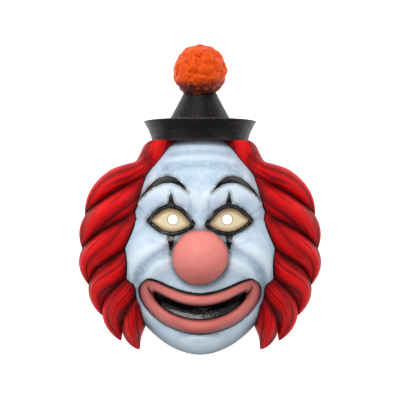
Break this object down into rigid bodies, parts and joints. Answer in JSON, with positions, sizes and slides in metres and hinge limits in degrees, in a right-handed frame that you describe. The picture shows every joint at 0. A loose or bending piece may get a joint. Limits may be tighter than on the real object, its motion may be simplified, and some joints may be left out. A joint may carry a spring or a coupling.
{
  "type": "clown mask",
  "caption": "Formed clown mask with a ball nose, smiling lips, swept side hair and a small brimmed hat with a pompom, open at the back for the wearer's face.",
  "frame": {"origin": "middle of the mask in plan, on the plane of its trimmed back edge", "axes": "+X to the viewer's right, +Y from the chin to the hat, +Z out of the face towards the viewer"},
  "size_m": [0.2916, 0.3714, 0.1101],
  "materials": {
    "face": "hand-painted pale blue, satin, airbrushed grey-blue round the features",
    "pink": "hand-painted salmon pink, satin, darker in the creases",
    "red": "hand-painted deep red, satin, near-black in the grooves",
    "black": "hand-painted black, satin, scuffed at the edges",
    "orange": "hand-painted orange, satin, dark in the grooves"
  },
  "bodies": {
    "root": {"face": "face", "nose": "pink", "lips": "pink", "hair_left": "red", "hair_right": "red", "hat_brim": "black", "hat_crown": "black", "pompom": "orange"}
  },
  "joints": []
}
